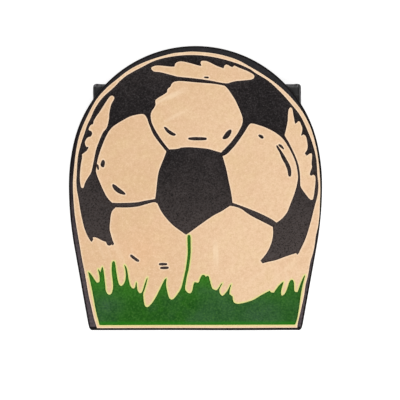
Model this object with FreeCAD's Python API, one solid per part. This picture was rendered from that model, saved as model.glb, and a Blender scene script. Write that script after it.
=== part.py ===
"""A horseshoe-shaped leather coin purse that opens like a clam about a flat fold.

Two stiff leather lobes are joined by a narrow spine. Between them is a black leather
bag with a front wall, a back wall, a bottom strip and two gussets, folded inwards like
the sides of a paper bag. A snap in the band above the bag's mouth holds the purse shut.

Row frame: millimetres, lying on its back. +X is to the right, +Y from the fold towards
the round end and +Z up, out of the front lobe. The origin is the middle of the footprint
on the surface that the purse lies on.
"""
import FreeCAD, Part
import math
import os

Vector = FreeCAD.Vector

# ---- Overall sizes ----
purse_width = 80.0
purse_height = 90.0
shoulder_drop = 4.0            # the widest place lies this far below a full half circle's
shoulder_angle = 13.0          # degrees that each flatter shoulder turns above it
side_arc_radius = 110.18       # the long curve below the widest place
flank_angle = 10.2             # degrees that each straight flank leans in
plan_corner_radius = 1.2       # the fold's two ends, seen from the front
fold_radius = 2.4              # outside of each of the fold's two creases
crease_gap = 0.12              # between the pieces that meet at a crease

# ---- Layers, from the outside in ----
cover_thickness = 1.4
lining_thickness = 0.6
lining_margin = 0.8            # the lining stops this far inside the cover's edge
bag_thickness = 0.8
coin_gap = 4.4                 # clear height between the bag's walls when shut

# ---- Bag ----
bag_inset = 0.5                # the bag is narrower than the fold by this at each side
bag_offset = 0.5               # and it is sewn in this far to the right
ear_radius = 1.3               # the bag's top corners
side_fold_width = 0.8          # the rolled fold where a wall turns into its gusset

# ---- Gussets ----
leaf_thickness = 0.7
leaf_depth_mouth = 25.0
leaf_depth_bottom = 2.4
leaf_tip_clearance = 0.5       # from a shut leaf's tip to the purse's middle plane
leaf_end_clearance = 0.4
hinge_clearance = 0.15

# ---- Snap fastener ----
snap_flange_diameter = 9.6
snap_edge_margin = 1.6         # from the flange to the round end's edge
snap_mouth_margin = 1.1        # from the flange to the bag's mouth
snap_sheet = 0.5               # sheet metal of the flanges
rivet_diameter = 1.9
rivet_head_diameter = 8.8
rivet_head_thickness = 0.4
rivet_clinch_diameter = 3.2
rivet_clinch_thickness = 0.3
rivet_clearance = 0.05
socket_height = 3.0            # from the front lining to the socket's face
socket_rim_width = 0.6         # the flange's ring outside the cup
socket_draft = 0.3             # the cup is narrower at its face by this, on the radius
socket_wall = 0.5
socket_opening_diameter = 4.3
socket_face_clearance = 0.3    # between the socket's face and the stud's shoulder
stud_cone_width = 1.6          # the stud's cone outside its neck, at the flange
stud_shoulder_width = 0.7      # and at its shoulder
bulb_opening_clearance = 0.2
bulb_spring_clearance = 0.1    # from the ring up to the bulb's underside
bulb_end_clearance = 0.2       # from the bulb's top to the clinched rivet
bulb_lead = 0.25               # height of the taper under the bulb
bulb_crown = 0.4               # height of the taper over the bulb
bulb_crown_width = 0.6
neck_grip = 0.13               # the ring's inside is smaller than the bulb by this
neck_spring_clearance = 0.17
spring_wire_diameter = 0.56
spring_gap_angle = 40.0        # the ring's opening, in degrees

# ---- Stitching ----
thread_diameter = 0.4
stitch_length = 2.0
stitch_pitch = 2.8
stitch_mouth_margin = 2.0      # from the row to the bag's mouth
stitch_side_margin = 6.0       # from the row's ends to the bag's sides
stitch_sink = 0.05             # how far a thread's middle lies below the leather

# ---- Worked out from the above ----
lining_level = cover_thickness
bag_level = cover_thickness + lining_thickness
inner_level = bag_level + bag_thickness
purse_thickness = 2 * inner_level + coin_gap
half_width = purse_width / 2
fold_y = -purse_height / 2
widest_y = purse_height / 2 - half_width - shoulder_drop
shoulder = math.radians(shoulder_angle)
shoulder_reach = shoulder_drop / (1 + math.tan(shoulder) - 1 / math.cos(shoulder))
shoulder_radius = half_width + shoulder_reach
crown_radius = shoulder_radius - shoulder_reach / math.cos(shoulder)
crown_y = purse_height / 2 - crown_radius             # the centre of the round top
flank = math.radians(flank_angle)
flank_top_y = widest_y - side_arc_radius * math.sin(flank)
flank_top_half = half_width - side_arc_radius * (1 - math.cos(flank))
fold_half = flank_top_half - (flank_top_y - fold_y) * math.tan(flank)
bag_half = fold_half - bag_inset
mouth_y = purse_height / 2 - snap_edge_margin - snap_flange_diameter - snap_mouth_margin
snap_y = purse_height / 2 - snap_edge_margin - snap_flange_diameter / 2
bag_side = bag_offset + bag_half              # the bag's right side
leaf_axis_x = bag_side - side_fold_width - hinge_clearance - leaf_thickness / 2
leaf_axis_z = inner_level + hinge_clearance + leaf_thickness / 2
leaf_rise = coin_gap / 2 - hinge_clearance - leaf_thickness - leaf_tip_clearance
leaf_rest_angle = math.asin(leaf_rise / leaf_depth_mouth)
rivet_r = rivet_diameter / 2
bore_r = rivet_r + rivet_clearance
head_r = rivet_head_diameter / 2
flange_r = snap_flange_diameter / 2
opening_r = socket_opening_diameter / 2
socket_base = purse_thickness - bag_level             # the front lining's inner face
socket_face = socket_base - socket_height
socket_cavity_top = socket_base - snap_sheet
spring_z = socket_face + socket_wall + rivet_clearance + spring_wire_diameter / 2
bulb_r = opening_r - bulb_opening_clearance
spring_inner_r = bulb_r - neck_grip
neck_r = spring_inner_r - neck_spring_clearance
shoulder_z = socket_face - socket_face_clearance
bulb_low = spring_z + spring_wire_diameter / 2 + bulb_spring_clearance
bulb_top = socket_cavity_top - rivet_clinch_thickness - bulb_end_clearance
far = 2 * (purse_width + purse_height)    # longer than anything here
same_place = 1e-3                         # points nearer than this are one corner


# ---- Outlines, each a face in the plane Z = 0 ----
def horseshoe(inset, corner_radius):
    """The lobe's outline, drawn in by inset: a crown, two shoulders, two long arcs, two flanks."""

    def on_arc(centre_x, centre_y, radius, turn):
        reach = radius - inset
        return Vector(centre_x + reach * math.cos(turn), centre_y + reach * math.sin(turn), 0)

    def mirrored(point):
        return Vector(-point.x, point.y, 0)

    side_x = half_width - side_arc_radius
    widest = Vector(half_width - inset, widest_y, 0)
    halfway = on_arc(side_x, widest_y, side_arc_radius, -flank / 2)
    flank_top = on_arc(side_x, widest_y, side_arc_radius, -flank)
    rising = on_arc(-shoulder_reach, widest_y, shoulder_radius, shoulder / 2)
    crown_end = on_arc(0, crown_y, crown_radius, shoulder)
    crown_top = on_arc(0, crown_y, crown_radius, math.pi / 2)
    run = flank_top.y - fold_y
    foot = Vector(flank_top.x - run * math.tan(flank), fold_y, 0)
    edges = [
        Part.Arc(crown_end, crown_top, mirrored(crown_end)).toShape(),
        Part.Arc(mirrored(crown_end), mirrored(rising), mirrored(widest)).toShape(),
        Part.Arc(mirrored(widest), mirrored(halfway), mirrored(flank_top)).toShape(),
        Part.makeLine(mirrored(flank_top), mirrored(foot)),
        Part.makeLine(mirrored(foot), foot),
        Part.makeLine(foot, flank_top),
        Part.Arc(flank_top, halfway, widest).toShape(),
        Part.Arc(widest, rising, crown_end).toShape(),
    ]
    prism = Part.Face(Part.Wire(edges)).extrude(Vector(0, 0, purse_thickness))
    return rounded_at(prism, [foot, mirrored(foot)], corner_radius)


def bag_outline():
    """A prism over the bag's rectangle, with rounded ears at the mouth."""
    low, high = fold_y - purse_thickness, mouth_y
    corner = Vector(bag_offset - bag_half, low, 0)
    prism = Part.makeBox(2 * bag_half, high - low, purse_thickness, corner)
    ears = [Vector(bag_offset + bag_half, high, 0), Vector(bag_offset - bag_half, high, 0)]
    return rounded_at(prism, ears, ear_radius)


def rounded_at(prism, corners, radius):
    """Rounds the prism's upright edges at the corners given."""
    if radius <= 0:
        return prism
    edges = []
    for edge in prism.Edges:
        ends = [v.Point for v in edge.Vertexes]
        upright = len(ends) == 2 and abs(ends[0].z - ends[1].z) > purse_thickness / 2
        if upright and any(math.hypot(ends[0].x - c.x, ends[0].y - c.y) < same_place for c in corners):
            edges.append(edge)
    return prism.makeFillet(radius, edges)


# ---- The layers that run round the fold ----
def wrap(level):
    """The space inside a layer's outer face: a long box with both creases rounded."""
    low = Vector(-far / 2, fold_y + level, level)
    box = Part.makeBox(far, far, purse_thickness - 2 * level, low)
    radius = fold_radius - level
    if radius <= 0:
        return box
    creases = []
    for edge in box.Edges:
        ends = [v.Point for v in edge.Vertexes]
        along_x = abs(ends[0].x - ends[1].x) > far / 2
        if along_x and abs(ends[0].y - low.y) < same_place:
            creases.append(edge)
    return box.makeFillet(radius, creases)


def section(points):
    """A prism right across the purse whose section in Y and Z has these corners."""
    corners = [Vector(-far / 2, y, z) for y, z in points]
    face = Part.Face(Part.makePolygon(corners + corners[:1]))
    return face.extrude(Vector(far, 0, 0))


def folded_layer(level, thickness, outline):
    """One layer that goes round the fold, cut at both creases: (back, spine, front)."""
    sheet = wrap(level).cut(wrap(level + thickness)).common(outline)
    middle = purse_thickness / 2
    gap = crease_gap / 2
    spine = section([(fold_y - middle, -middle + gap), (fold_y + middle - gap, middle),
                     (fold_y - middle, purse_thickness + middle - gap)])
    back = section([(fold_y - middle + gap, -middle), (fold_y + far, -middle),
                    (fold_y + far, middle), (fold_y + middle + gap, middle)])
    front = flipped(back)
    return sheet.common(back), sheet.common(spine), sheet.common(front)


def flipped(shape):
    """The shape's image in the purse's middle plane: a back piece becomes a front one."""
    return shape.mirror(Vector(0, 0, purse_thickness / 2), Vector(0, 0, 1))


def other_side(shape):
    """A right-hand piece of the bag becomes a left-hand one."""
    return shape.mirror(Vector(bag_offset, 0, 0), Vector(1, 0, 0))


# ---- Bag: side folds and gusset leaves, made for the right of the back wall ----
def side_fold():
    """The rolled edge where the back wall turns up into its gusset."""
    height = hinge_clearance + leaf_thickness
    low_y = fold_y + inner_level + leaf_end_clearance
    corner = Vector(bag_side - side_fold_width, low_y, inner_level)
    box = Part.makeBox(side_fold_width, mouth_y - low_y, height, corner)
    outer = [e for e in box.Edges if all(
        abs(v.X - bag_side) < same_place and v.Z > inner_level + height / 2 for v in e.Vertexes)]
    return box.makeFillet(min(height, side_fold_width) / 2, outer).common(bag_outline())


def gusset_leaf():
    """The half of the right gusset that lies on the back wall. It turns on a round edge."""
    low_y = fold_y + inner_level + leaf_end_clearance
    high_y = mouth_y - leaf_end_clearance
    corners = [(0, low_y), (0, high_y), (leaf_depth_mouth, high_y), (leaf_depth_bottom, low_y)]
    base_z = leaf_axis_z - leaf_thickness / 2
    points = [Vector(leaf_axis_x - depth, y, base_z) for depth, y in corners]
    face = Part.Face(Part.makePolygon(points + points[:1]))
    plate = face.extrude(Vector(0, 0, leaf_thickness))
    edge = Part.makeCylinder(leaf_thickness / 2, high_y - low_y,
                             Vector(leaf_axis_x, low_y, leaf_axis_z), Vector(0, 1, 0))
    leaf = plate.fuse(edge).removeSplitter()
    pivot = Vector(leaf_axis_x, 0, leaf_axis_z)
    leaf.rotate(pivot, Vector(0, 1, 0), math.degrees(leaf_rest_angle))
    return leaf


# ---- Snap fastener: each piece is turned about the upright line at the snap's place ----
def turned(points):
    """A solid of revolution about the snap's line, from corners (radius, height)."""
    corners = [Vector(r, 0, z) for r, z in points]
    face = Part.Face(Part.makePolygon(corners + corners[:1]))
    solid = face.revolve(Vector(0, 0, 0), Vector(0, 0, 1), 360)
    solid.translate(Vector(0, snap_y, 0))
    return solid


def snap_stud():
    """The male half: a flange on the back lining, a cone and a bulb on a neck."""
    base = bag_level
    bore_top = shoulder_z - snap_sheet
    return turned([
        (bore_r, base), (flange_r, base), (flange_r, base + snap_sheet),
        (neck_r + stud_cone_width, base + snap_sheet), (neck_r + stud_shoulder_width, shoulder_z),
        (neck_r, shoulder_z), (neck_r, bulb_low), (bulb_r, bulb_low + bulb_lead),
        (bulb_r, bulb_top - bulb_crown), (bulb_r - bulb_crown_width, bulb_top), (0, bulb_top),
        (0, bore_top), (bore_r, bore_top),
    ])


def snap_rivet():
    """Holds the stud: its head lies in the back cover, under the lining."""
    head_top = lining_level
    head_low = head_top - rivet_head_thickness
    tip = shoulder_z - snap_sheet - rivet_clearance
    return turned([(0, head_low), (head_r, head_low), (head_r, head_top),
                   (rivet_r, head_top), (rivet_r, tip), (0, tip)])


def snap_socket():
    """The female half: a cup under the front lining, with an opening for the bulb."""
    cup_r = flange_r - socket_rim_width
    face_r = cup_r - socket_draft
    lip_top = socket_face + socket_wall
    return turned([
        (bore_r, socket_base), (flange_r, socket_base), (flange_r, socket_cavity_top),
        (cup_r, socket_cavity_top), (face_r, socket_face), (opening_r, socket_face),
        (opening_r, lip_top), (face_r - socket_wall, lip_top),
        (cup_r - socket_wall, socket_cavity_top), (bore_r, socket_cavity_top),
    ])


def snap_cap():
    """Holds the socket: its head lies in the front cover and its tip is clinched."""
    head_low = purse_thickness - lining_level
    head_top = head_low + rivet_head_thickness
    clinch_r = rivet_clinch_diameter / 2
    clinch_low = socket_cavity_top - rivet_clinch_thickness
    return turned([
        (0, head_top), (head_r, head_top), (head_r, head_low), (rivet_r, head_low),
        (rivet_r, socket_cavity_top), (clinch_r, socket_cavity_top), (clinch_r, clinch_low),
        (0, clinch_low),
    ])


def snap_spring():
    """The split ring inside the socket that grips the stud's neck."""
    wire_r = spring_wire_diameter / 2
    ring_r = spring_inner_r + wire_r
    start = Vector(ring_r, 0, spring_z)
    section_edge = Part.makeCircle(wire_r, start, Vector(0, 1, 0))
    face = Part.Face(Part.Wire([section_edge]))
    ring = face.revolve(Vector(0, 0, 0), Vector(0, 0, 1), 360 - spring_gap_angle)
    ring.rotate(Vector(0, 0, 0), Vector(0, 0, 1), 90 + spring_gap_angle / 2)
    ring.translate(Vector(0, snap_y, 0))
    return ring


def rivet_hole(level, thickness):
    """Where a rivet's shank goes through the lining."""
    return Part.makeCylinder(bore_r, thickness, Vector(0, snap_y, level))


def rivet_recess():
    """Where a rivet's head lies in the back cover."""
    depth = rivet_head_thickness + rivet_clearance
    return Part.makeCylinder(head_r + rivet_clearance, depth,
                             Vector(0, snap_y, lining_level - depth))


# ---- Stitching ----
def hem_stitches():
    """The row of stitches that hems the back wall's mouth, as separate short threads."""
    reach = bag_half - stitch_side_margin - stitch_length
    count = int(2 * reach // stitch_pitch) + 1
    y = mouth_y - stitch_mouth_margin
    z = inner_level - stitch_sink
    radius = thread_diameter / 2
    straight = stitch_length - thread_diameter
    stitches = []
    for n in range(count):
        x = bag_offset + (n - (count - 1) / 2) * stitch_pitch
        thread = Part.makeCylinder(radius, straight, Vector(x - straight / 2, y, z), Vector(1, 0, 0))
        for end in (-straight / 2, straight / 2):
            thread = thread.fuse(Part.makeSphere(radius, Vector(x + end, y, z)))
        stitches.append(thread.removeSplitter().Solids[0])
    return Part.makeCompound(stitches)


def build():
    """Every piece, by node name."""
    cover = folded_layer(0, cover_thickness, horseshoe(0, plan_corner_radius))
    lining = folded_layer(lining_level, lining_thickness, horseshoe(lining_margin, 0))
    bag = folded_layer(bag_level, bag_thickness, bag_outline())
    hole = rivet_hole(lining_level, lining_thickness)
    nodes = {
        "cover_back": cover[0].cut(rivet_recess()),
        "cover_spine": cover[1],
        "cover_front": cover[2].cut(flipped(rivet_recess())),
        "lining_back": lining[0].cut(hole),
        "lining_spine": lining[1],
        "lining_front": lining[2].cut(flipped(hole)),
        "bag_back_wall": bag[0],
        "bag_bottom": bag[1],
        "bag_front_wall": bag[2],
        "snap_stud": snap_stud(),
        "snap_rivet": snap_rivet(),
        "snap_socket": snap_socket(),
        "snap_cap": snap_cap(),
        "snap_spring": snap_spring(),
        "hem_stitches_back": hem_stitches(),
        "hem_stitches_front": flipped(hem_stitches()),
    }
    for name, piece in (("side_fold", side_fold()), ("gusset_leaf", gusset_leaf())):
        nodes[name + "_back_right"] = piece
        nodes[name + "_back_left"] = other_side(piece)
        nodes[name + "_front_right"] = flipped(piece)
        nodes[name + "_front_left"] = flipped(other_side(piece))
    return nodes


os.makedirs("parts", exist_ok=True)
for node, shape in build().items():
    if not shape.isValid() or not shape.Solids:
        raise ValueError(node + " isn't a valid solid")
    shape.exportStep("parts/" + node + ".step")
    print(f"{node}: {len(shape.Solids)} solid(s), {shape.Volume:.1f} mm3")
crease = fold_radius * (1 - math.sqrt(0.5))
print(f"crease axis, back: y {fold_y + crease:.4f}, z {crease:.4f}")
print(f"crease axis, front: y {fold_y + crease:.4f}, z {purse_thickness - crease:.4f}")
print(f"leaf axis: x {leaf_axis_x:.4f} and {2 * bag_offset - leaf_axis_x:.4f}, z {leaf_axis_z:.4f} and {purse_thickness - leaf_axis_z:.4f}")
print(f"mouth y {mouth_y:.3f}, snap y {snap_y:.3f}, bag half {bag_half:.3f}, fold half {fold_half:.3f}")
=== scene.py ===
"""Looks of a horseshoe-shaped leather coin purse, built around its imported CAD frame.

The purse lies on its back. Its cover, lining and bag are sheets of leather folded round
a flat spine at y -45 mm, so each is drawn as a sheet: x across, run along the leather,
and depth below the cover's outer face. The front is tooled and dyed with a ball on grass.
Lengths here are millimetres. A mesh is turned into metres as it is made.
"""
import math

import bpy
import numpy as np
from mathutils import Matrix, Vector
from mathutils.geometry import delaunay_2d_cdt
from mathutils.kdtree import KDTree


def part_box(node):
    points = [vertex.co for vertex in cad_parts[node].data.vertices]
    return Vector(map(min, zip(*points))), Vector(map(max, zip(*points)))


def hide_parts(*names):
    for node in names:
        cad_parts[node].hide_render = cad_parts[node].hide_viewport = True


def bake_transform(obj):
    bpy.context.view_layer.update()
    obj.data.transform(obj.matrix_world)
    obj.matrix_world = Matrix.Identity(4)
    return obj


MM = 0.001
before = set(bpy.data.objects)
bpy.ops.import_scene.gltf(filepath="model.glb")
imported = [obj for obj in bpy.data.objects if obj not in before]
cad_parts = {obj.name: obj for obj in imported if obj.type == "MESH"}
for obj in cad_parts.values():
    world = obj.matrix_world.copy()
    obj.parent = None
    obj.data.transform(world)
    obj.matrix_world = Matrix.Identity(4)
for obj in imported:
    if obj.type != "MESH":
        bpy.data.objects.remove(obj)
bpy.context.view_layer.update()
scene = bpy.context.scene


# ---- Sizes from the frame ----
def box_of(node):
    """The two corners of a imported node's box, in millimetres."""
    return [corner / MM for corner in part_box(node)]


cover_low, cover_high = box_of("cover_front")
lining_low, lining_high = box_of("lining_front")
wall_low, wall_high = box_of("bag_front_wall")
strip_low, strip_high = box_of("bag_bottom")
half_width = cover_high.x
top_y = cover_high.y
fold_y = box_of("cover_spine")[0].y
thickness = cover_high.z
middle_z = thickness / 2
cover_thickness = cover_high.z - cover_low.z
lining_thickness = lining_high.z - lining_low.z
wall_thickness = wall_high.z - wall_low.z
bag_left = box_of("side_fold_front_left")[0].x
bag_right = box_of("side_fold_front_right")[1].x
bag_middle = (bag_left + bag_right) / 2

# ---- Driving dimensions of the outline and the fold, the same as the CAD's ----
shoulder_drop = 4.0            # the widest place lies this far below a full half circle's
shoulder = math.radians(13.0)  # how far each flatter shoulder turns above it
side_radius = 110.18           # of the long arc down each side
flank = math.radians(10.2)     # how far the straight flanks lean in
fold_radius = 2.4              # outside of the bend from a lobe to the spine
plan_corner = 1.2              # the fold's two ends, seen from the front
bend_y = fold_y + fold_radius
widest_y = top_y - half_width - shoulder_drop
shoulder_reach = shoulder_drop / (1 + math.tan(shoulder) - 1 / math.cos(shoulder))
shoulder_radius = half_width + shoulder_reach
crown_radius = shoulder_radius - shoulder_reach / math.cos(shoulder)
crown_y = top_y - crown_radius
flank_top_y = widest_y - side_radius * math.sin(flank)
flank_top_x = half_width - side_radius * (1 - math.cos(flank))
bend_length = fold_radius * math.pi / 2
seam_run = -bend_length - (thickness - fold_radius - middle_z)
seam_ease = 2.6                # a sheet's unevenness dies away over this run before the seam


# ---- The sheet: run 0 is where the flat lobe starts to bend round the fold ----
def run_of(y):
    """The run at which the sheet's outer face has this y, seen from the front."""
    turned = np.arcsin(np.clip((bend_y - y) / fold_radius, 0, 1))
    return np.where(y >= bend_y, y - bend_y, -fold_radius * turned)


def plan_y(run):
    """The y of the sheet's outer face at this run."""
    turned = np.clip(-run / fold_radius, 0, math.pi / 2)
    return np.where(run >= 0, bend_y + run, bend_y - fold_radius * np.sin(turned))


def on_sheet(x, run, depth, front, radius=fold_radius, bend=bend_y, face=thickness):
    """Points at these places on a sheet folded round the spine. Depth is inwards."""
    x, run, depth = np.broadcast_arrays(x, run, depth)
    turned = np.clip(-run / radius, 0, math.pi / 2)
    straight = np.maximum(-run - radius * math.pi / 2, 0)
    reach = radius - depth
    y = np.where(run >= 0, bend + run, bend - reach * np.sin(turned))
    z = face - radius + reach * np.cos(turned) - straight
    low = np.clip(fold_y + plan_corner - y, 0, plan_corner)
    cut = plan_corner - np.sqrt(plan_corner**2 - low**2)
    x = x * (1 - cut / half_width)
    if not front:
        z = thickness - z
    return np.stack([x, y, z], -1)


def edge_of(inset, step):
    """The lobe's edge, drawn in by inset, as (x, run) from the seam round to the seam."""

    def arc(centre_x, centre_y, radius, start, end):
        turn = np.linspace(start, end, max(2, int((end - start) * radius / step)) + 1)
        reach = radius - inset
        return centre_x + reach * np.cos(turn), centre_y + reach * np.sin(turn)

    side_x, side_y = arc(half_width - side_radius, widest_y, side_radius, -flank, 0)
    rising_x, rising_y = arc(-shoulder_reach, widest_y, shoulder_radius, 0, shoulder)
    crown_x, crown_high = arc(0, crown_y, crown_radius, shoulder, math.pi - shoulder)
    seam_rows = np.linspace(seam_run, -bend_length, 6)[:-1]
    bend_rows = np.linspace(-bend_length, 0, 12)[:-1]
    flat_rows = np.linspace(0, side_y[0] - bend_y, int((side_y[0] - bend_y) / step) + 1)[:-1]
    low_rows = np.concatenate([seam_rows, bend_rows, flat_rows])
    low_x = side_x[0] - (side_y[0] - plan_y(low_rows)) * math.tan(flank)
    right_x = np.concatenate([low_x, side_x[:-1], rising_x[:-1]])
    right_run = np.concatenate([low_rows, side_y[:-1] - bend_y, rising_y[:-1] - bend_y])
    x = np.concatenate([right_x, crown_x, -right_x[::-1]])
    run = np.concatenate([right_run, crown_high - bend_y, right_run[::-1]])
    return x, run


def edge_distance(x, y):
    """How far inside the lobe's outline a plan point lies, and the way in from there."""
    side = 1 if x >= 0 else -1
    across = abs(x)
    if y - crown_y >= across * math.tan(shoulder):
        centre_x, centre_y, radius = 0, crown_y, crown_radius
    elif y >= widest_y:
        centre_x, centre_y, radius = -shoulder_reach, widest_y, shoulder_radius
    elif y >= flank_top_y:
        centre_x, centre_y, radius = half_width - side_radius, widest_y, side_radius
    else:
        away = (math.cos(flank), -math.sin(flank))
        out = (across - flank_top_x) * away[0] + (y - flank_top_y) * away[1]
        return -out, (-side * away[0], -away[1])
    dx, dy = across - centre_x, y - centre_y
    reach = max(math.hypot(dx, dy), 1e-6)
    return radius - reach, (-side * dx / reach, -dy / reach)


# ---- Meshes ----
def placed(name, data):
    """An object of the scene with this data."""
    made = bpy.data.objects.new(name, data)
    scene.collection.objects.link(made)
    return made


def make_object(name, points, faces, materials, kinds=None):
    """A mesh object from millimetre points, smooth but for its sharp edges."""
    mesh = bpy.data.meshes.new(name)
    mesh.from_pydata((points * MM).tolist(), [], [tuple(f) for f in faces])
    for each in materials:
        mesh.materials.append(each)
    if kinds is not None:
        mesh.polygons.foreach_set("material_index", np.asarray(kinds, np.int32))
    mesh.polygons.foreach_set("use_smooth", np.ones(len(mesh.polygons), bool))
    mesh.update()
    mesh.set_sharp_from_angle(angle=math.radians(40))
    return placed(name, mesh)


def smooth_step(share):
    """From nothing to one, with a soft start and end."""
    share = np.clip(share, 0, 1)
    return share * share * (3 - 2 * share)


def spread_points(low, high, spacing):
    """A staggered grid of points over a rectangle, for nearly even triangles."""
    points = []
    for n, run in enumerate(np.arange(low[1], high[1], spacing * 0.87)):
        xs = np.arange(low[0] + (n % 2) * spacing / 2, high[0], spacing)
        points.append(np.stack([xs, np.full(len(xs), run)], -1))
    return np.concatenate(points)


def inside(points, loop):
    """Which points lie inside a closed loop."""
    found = np.zeros(len(points), bool)
    low, high = loop.min(0), loop.max(0)
    near = np.flatnonzero(((points >= low) & (points <= high)).all(1))
    x, y = points[near].T
    result = np.zeros(len(near), bool)
    for (ax, ay), (bx, by) in zip(loop, np.roll(loop, -1, 0)):
        if ay == by:
            continue
        crosses = (ay > y) != (by > y)
        result ^= crosses & (x < (bx - ax) * (y - ay) / (by - ay) + ax)
    found[near] = result
    return found


def triangulate(loops, scattered):
    """Triangles inside the first loop that keep to the edges of every loop."""
    points, edges = [], []
    for loop in loops:
        first = len(points)
        points += [Vector(p) for p in loop]
        count = len(loop)
        edges += [(first + n, first + (n + 1) % count) for n in range(count)]
    points += [Vector(p) for p in scattered]
    made, _, faces, origins, _, _ = delaunay_2d_cdt(points, edges, [], 1, 1e-5)
    place = np.array([tuple(p) for p in made])
    where = {}
    for n, sources in enumerate(origins):
        for source in sources:
            where[source] = n
    return place, [tuple(f) for f in faces], where


def nearest(loops, points):
    """Each point's distance to the nearest point of the loops."""
    cloud = np.concatenate(loops)
    tree = KDTree(len(cloud))
    for n, (x, y) in enumerate(cloud):
        tree.insert((x, y, 0), n)
    tree.balance()
    return np.array([tree.find((x, y, 0))[2] for x, y in points])


def closed_loop(x, run, seam_count=60):
    """The edge with the straight seam across the spine that closes it."""
    across = np.linspace(x[-1], x[0], seam_count + 2)[1:-1]
    seam = np.full(seam_count, run[-1])
    return np.stack([np.concatenate([x, across]), np.concatenate([run, seam])], -1)


def leather_lobe(name, profile, step, front, materials, spacing, art=None):
    """A lobe of the cover or the lining with its half of the spine, as one closed sheet.

    The profile is (inset, depth) from the outer face's rim round the edge to the inner
    face's rim. The last two materials are the rim's and the inner face's. Art gives the
    loops to follow and how to colour and raise the outer face.
    """
    rings = [closed_loop(*edge_of(inset, step)) for inset, _ in profile]
    outer, inner = rings[0], rings[-1]
    count = len(outer)
    extra = art["loops"] if art else []
    rim_kind, inner_kind = len(materials) - 2, len(materials) - 1

    def filled(ring, others, apart, gap):
        grid = spread_points(outer.min(0), outer.max(0), apart)
        grid = grid[inside(grid, ring)]
        return grid[nearest([ring, *others], grid) > gap]

    def band(first, second):
        return list(zip(first, second, second[1:] + second[:1], first[1:] + first[:1]))

    grid = filled(outer, extra, spacing, spacing * 0.45)
    if art:
        grid = np.concatenate([grid, art["rows"]])
    place, faces, where = triangulate([outer, *extra], grid)
    height = (art["height"](place) if art else sheet_waves(place, 0.03)) * seam_fade(place)
    points = [on_sheet(*place.T, -height + profile[0][1], front)]
    middles = np.array([place[list(f)].mean(0) for f in faces])
    kinds = list(art["kinds"](middles)) if art else [0] * len(faces)
    last = [where[n] for n in range(count)]
    used = len(place)
    for (_, depth), ring in zip(profile[1:-1], rings[1:-1]):
        points.append(on_sheet(*ring.T, depth, front))
        row = list(range(used, used + count))
        faces += band(last, row)
        last, used = row, used + count
    place, back_faces, where = triangulate([inner], filled(inner, [], inner_spacing, 1.0))
    points.append(on_sheet(*place.T, profile[-1][1], front))
    faces += band(last, [used + where[n] for n in range(count)])
    kinds += [rim_kind] * count * (len(profile) - 1)
    faces += [tuple(used + n for n in reversed(f)) for f in back_faces]
    kinds += [inner_kind] * len(back_faces)
    if not front:
        faces = [tuple(reversed(f)) for f in faces]
    return make_object(name, np.concatenate(points), faces, materials, kinds)


def sheet_waves(place, size):
    """The slow unevenness of a flat piece of leather."""
    x, run = place.T
    return size * (np.sin(x / 7.3 + 0.6) * np.cos(run / 9.1) + 0.6 * np.sin((x + 2 * run) / 5.7))


def seam_fade(place):
    """Nothing at the seam across the spine, where two sheets meet, and one from there on."""
    return smooth_step((place[:, 1] - seam_run) / seam_ease)


# ---- Materials ----
# Where the natural leather shows paler brush strokes: x, y, reach, degrees turned, strength.
brushed_places = [(5.6, -20.5, 6.5, 4, 0.7), (-9, 27, 10, -62, 0.9), (-24, -20, 13, 20, 0.5),
                  (22, -24, 13, -50, 0.5), (30, -28, 8, 10, 0.5)]


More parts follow.
